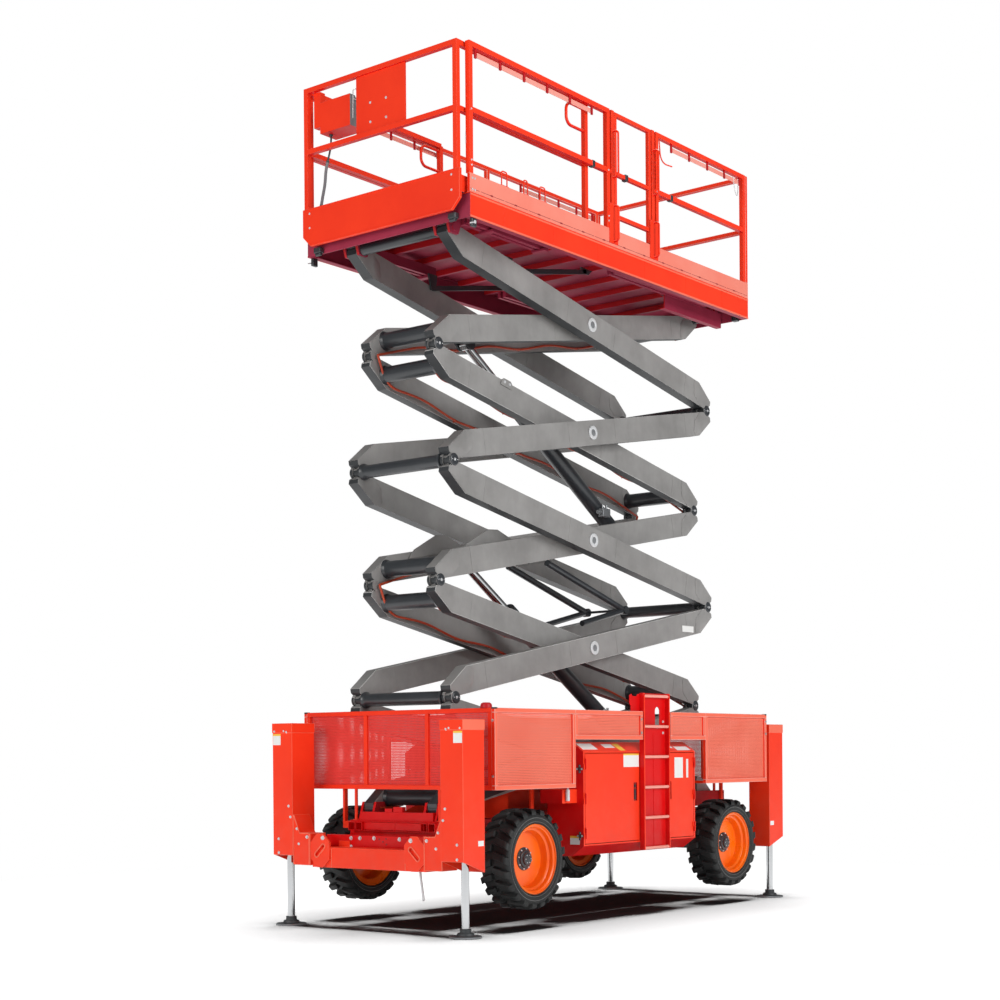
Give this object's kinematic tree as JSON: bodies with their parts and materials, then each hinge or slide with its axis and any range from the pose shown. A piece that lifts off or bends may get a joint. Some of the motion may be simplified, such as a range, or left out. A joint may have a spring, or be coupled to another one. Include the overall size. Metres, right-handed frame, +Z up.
{
  "type": "rough terrain scissor lift",
  "caption": "Self-propelled scissor lift on four corner jacks, with stacked crossing arms, a railed deck with a roll-out front and a ladder.",
  "frame": {"origin": "on the ground under the middle of the machine", "axes": "+X towards the front, where the scissor's fixed pins are, +Y to the left, where the ladder is, +Z up"},
  "size_m": [4.95, 2.17, 7.036],
  "materials": {
    "body_red": "gloss",
    "frame_dark_red": "satin",
    "arm_grey": "satin",
    "cylinder_black": "satin",
    "rod_chrome": "polished",
    "tyre": "matte",
    "rim_orange": "gloss",
    "deck_metal": "tread plate",
    "cable_grey": "matte",
    "engine_grey": "matte"
  },
  "bodies": {
    "chassis": {"axle_front": "frame_dark_red", "axle_rear": "frame_dark_red", "cabinet_left": "body_red", "cabinet_right": "body_red", "chassis_frame": "frame_dark_red", "engine": "engine_grey", "guard_ends": "body_red", "guard_left": "body_red", "guard_right": "body_red", "ladder": "body_red", "leg_feet": "body_red", "leg_housings": "body_red", "outriggers": "body_red"},
    "inner_1": {"inner_arms_1": "arm_grey"},
    "outer_1": {"outer_arms_1": "arm_grey"},
    "inner_2": {"inner_arms_2": "arm_grey"},
    "outer_2": {"outer_arms_2": "arm_grey"},
    "inner_3": {"inner_arms_3": "arm_grey"},
    "outer_3": {"outer_arms_3": "arm_grey"},
    "inner_4": {"inner_arms_4": "arm_grey"},
    "outer_4": {"outer_arms_4": "arm_grey"},
    "inner_5": {"inner_arms_5": "arm_grey"},
    "outer_5": {"outer_arms_5": "arm_grey"},
    "barrel_lower": {"lift_barrel_lower": "cylinder_black"},
    "rod_lower": {"lift_rod_lower": "rod_chrome"},
    "barrel_upper": {"lift_barrel_upper": "cylinder_black"},
    "rod_upper": {"lift_rod_upper": "rod_chrome"},
    "platform": {"deck_beams": "frame_dark_red", "deck_ribs": "frame_dark_red", "deck_tracks": "frame_dark_red", "deck_brackets": "frame_dark_red", "platform_floor": "deck_metal", "toe_boards": "body_red", "rail_left": "body_red", "rail_right": "body_red", "rail_rear": "body_red"},
    "gate": {"gate": "body_red"},
    "extension": {"extension_deck": "body_red", "extension_rails": "body_red", "front_plate": "body_red", "control_box": "body_red", "control_cable": "cable_grey"},
    "wheel_front_left": {"tyre_front_left": "tyre", "rim_front_left": "rim_orange"},
    "jack_front_left": {"jack_front_left": "rod_chrome"},
    "wheel_front_right": {"tyre_front_right": "tyre", "rim_front_right": "rim_orange"},
    "jack_front_right": {"jack_front_right": "rod_chrome"},
    "wheel_rear_left": {"tyre_rear_left": "tyre", "rim_rear_left": "rim_orange"},
    "jack_rear_left": {"jack_rear_left": "rod_chrome"},
    "wheel_rear_right": {"tyre_rear_right": "tyre", "rim_rear_right": "rim_orange"},
    "jack_rear_right": {"jack_rear_right": "rod_chrome"},
    "steer_left": {"knuckle_left": "frame_dark_red"},
    "steer_right": {"knuckle_right": "frame_dark_red"},
    "door_left_front": {"door_left_front": "body_red"},
    "door_left_rear": {"door_left_rear": "body_red"},
    "door_right_front": {"door_right_front": "body_red"},
    "door_right_rear": {"door_right_rear": "body_red"}
  },
  "joints": [
    {"name": "scissor_raise", "type": "hinge", "parent": "chassis", "child": "inner_1", "pos_m": [1.97267, 0, 0.985], "axis": [0, 1, 0], "range_deg": [-10.3, 26]},
    {"name": "mid_pin_1", "type": "hinge", "parent": "inner_1", "child": "outer_1", "pos_m": [0.03995, 0, 1.40774], "axis": [0, 1, 0], "range_deg": [-52.01, 20.61]},
    {"name": "inner_hinge_1", "type": "hinge", "parent": "inner_1", "child": "inner_2", "pos_m": [-1.8821, 0, 1.88749], "axis": [0, 1, 0], "range_deg": [-52.01, 20.61]},
    {"name": "mid_pin_2", "type": "hinge", "parent": "inner_2", "child": "outer_2", "pos_m": [0.03995, 0, 2.36724], "axis": [0, 1, 0], "range_deg": [-20.61, 52.01]},
    {"name": "inner_hinge_2", "type": "hinge", "parent": "inner_2", "child": "inner_3", "pos_m": [1.962, 0, 2.84699], "axis": [0, 1, 0], "range_deg": [-20.61, 52.01]},
    {"name": "mid_pin_3", "type": "hinge", "parent": "inner_3", "child": "outer_3", "pos_m": [0.03995, 0, 3.32674], "axis": [0, 1, 0], "range_deg": [-52.01, 20.61]},
    {"name": "inner_hinge_3", "type": "hinge", "parent": "inner_3", "child": "inner_4", "pos_m": [-1.8821, 0, 3.80649], "axis": [0, 1, 0], "range_deg": [-52.01, 20.61]},
    {"name": "mid_pin_4", "type": "hinge", "parent": "inner_4", "child": "outer_4", "pos_m": [0.03995, 0, 4.28624], "axis": [0, 1, 0], "range_deg": [-20.61, 52.01]},
    {"name": "inner_hinge_4", "type": "hinge", "parent": "inner_4", "child": "inner_5", "pos_m": [1.962, 0, 4.76599], "axis": [0, 1, 0], "range_deg": [-20.61, 52.01]},
    {"name": "mid_pin_5", "type": "hinge", "parent": "inner_5", "child": "outer_5", "pos_m": [0.03995, 0, 5.24574], "axis": [0, 1, 0], "range_deg": [-52.01, 20.61]},
    {"name": "platform_pin", "type": "hinge", "parent": "outer_5", "child": "platform", "pos_m": [1.97267, 0, 5.66848], "axis": [0, 1, 0], "range_deg": [-10.31, 26.01]},
    {"name": "barrel_foot_lower", "type": "hinge", "parent": "inner_1", "child": "barrel_lower", "pos_m": [-1.06525, 0, 1.64509], "axis": [0, 1, 0], "range_deg": [-65.01, 25.76]},
    {"name": "rod_stroke_lower", "type": "slide", "parent": "barrel_lower", "child": "rod_lower", "axis": [0.8446, 0, 0.5353], "range_m": [-0.516, 1.301]},
    {"name": "barrel_foot_upper", "type": "hinge", "parent": "inner_3", "child": "barrel_upper", "pos_m": [-1.06525, 0, 3.56409], "axis": [0, 1, 0], "range_deg": [-65.01, 25.76]},
    {"name": "rod_stroke_upper", "type": "slide", "parent": "barrel_upper", "child": "rod_upper", "axis": [0.8446, 0, 0.5353], "range_m": [-0.516, 1.301]},
    {"name": "gate_hinge", "type": "hinge", "parent": "platform", "child": "gate", "pos_m": [0.159, 0.845, 6.5], "axis": [0, 0, 1], "range_deg": [0, 90]},
    {"name": "extension_slide", "type": "slide", "parent": "platform", "child": "extension", "axis": [1, 0, 0], "range_m": [0, 1.2]},
    {"name": "steer_left", "type": "hinge", "parent": "chassis", "child": "steer_left", "pos_m": [1.545, 0.665, 0.574], "axis": [0, 0, 1], "range_deg": [-25, 25]},
    {"name": "steer_right", "type": "hinge", "parent": "chassis", "child": "steer_right", "pos_m": [1.545, -0.665, 0.574], "axis": [0, 0, 1], "range_deg": [-25, 25]},
    {"name": "wheel_front_left", "type": "hinge", "parent": "steer_left", "child": "wheel_front_left", "pos_m": [1.545, 0.894, 0.574], "axis": [0, 1, 0], "continuous": true},
    {"name": "jack_front_left", "type": "slide", "parent": "chassis", "child": "jack_front_left", "axis": [0, 0, -1], "range_m": [-0.42, 0.08]},
    {"name": "wheel_front_right", "type": "hinge", "parent": "steer_right", "child": "wheel_front_right", "pos_m": [1.545, -0.894, 0.574], "axis": [0, 1, 0], "continuous": true},
    {"name": "jack_front_right", "type": "slide", "parent": "chassis", "child": "jack_front_right", "axis": [0, 0, -1], "range_m": [-0.42, 0.08]},
    {"name": "wheel_rear_left", "type": "hinge", "parent": "chassis", "child": "wheel_rear_left", "pos_m": [-1.545, 0.894, 0.574], "axis": [0, 1, 0], "continuous": true},
    {"name": "jack_rear_left", "type": "slide", "parent": "chassis", "child": "jack_rear_left", "axis": [0, 0, -1], "range_m": [-0.42, 0.08]},
    {"name": "wheel_rear_right", "type": "hinge", "parent": "chassis", "child": "wheel_rear_right", "pos_m": [-1.545, -0.894, 0.574], "axis": [0, 1, 0], "continuous": true},
    {"name": "jack_rear_right", "type": "slide", "parent": "chassis", "child": "jack_rear_right", "axis": [0, 0, -1], "range_m": [-0.42, 0.08]},
    {"name": "door_left_front", "type": "hinge", "parent": "chassis", "child": "door_left_front", "pos_m": [0.811, 1.0093, 1.0445], "axis": [0, 0, 1], "range_deg": [-100, 0]},
    {"name": "door_left_rear", "type": "hinge", "parent": "chassis", "child": "door_left_rear", "pos_m": [-0.89, 1.0093, 1.0445], "axis": [0, 0, 1], "range_deg": [0, 100]},
    {"name": "door_right_front", "type": "hinge", "parent": "chassis", "child": "door_right_front", "pos_m": [0.811, -1.0093, 1.0445], "axis": [0, 0, 1], "range_deg": [0, 100]},
    {"name": "door_right_rear", "type": "hinge", "parent": "chassis", "child": "door_right_rear", "pos_m": [-0.89, -1.0093, 1.0445], "axis": [0, 0, 1], "range_deg": [-100, 0]}
  ],
  "couplings": [
    {"joint": "mid_pin_1", "follows": "scissor_raise", "ratio": -2},
    {"joint": "inner_hinge_1", "follows": "scissor_raise", "ratio": -2},
    {"joint": "mid_pin_2", "follows": "scissor_raise", "ratio": 2},
    {"joint": "inner_hinge_2", "follows": "scissor_raise", "ratio": 2},
    {"joint": "mid_pin_3", "follows": "scissor_raise", "ratio": -2},
    {"joint": "inner_hinge_3", "follows": "scissor_raise", "ratio": -2},
    {"joint": "mid_pin_4", "follows": "scissor_raise", "ratio": 2},
    {"joint": "inner_hinge_4", "follows": "scissor_raise", "ratio": 2},
    {"joint": "mid_pin_5", "follows": "scissor_raise", "ratio": -2},
    {"joint": "platform_pin", "follows": "scissor_raise", "ratio": 1},
    {"joint": "barrel_foot_lower", "follows": "scissor_raise", "ratio": -2.5},
    {"joint": "rod_stroke_lower", "follows": "scissor_raise", "m_per_rad": 2.8648},
    {"joint": "barrel_foot_upper", "follows": "scissor_raise", "ratio": -2.5},
    {"joint": "rod_stroke_upper", "follows": "scissor_raise", "m_per_rad": 2.8648},
    {"joint": "steer_right", "follows": "steer_left", "ratio": 1}
  ]
}
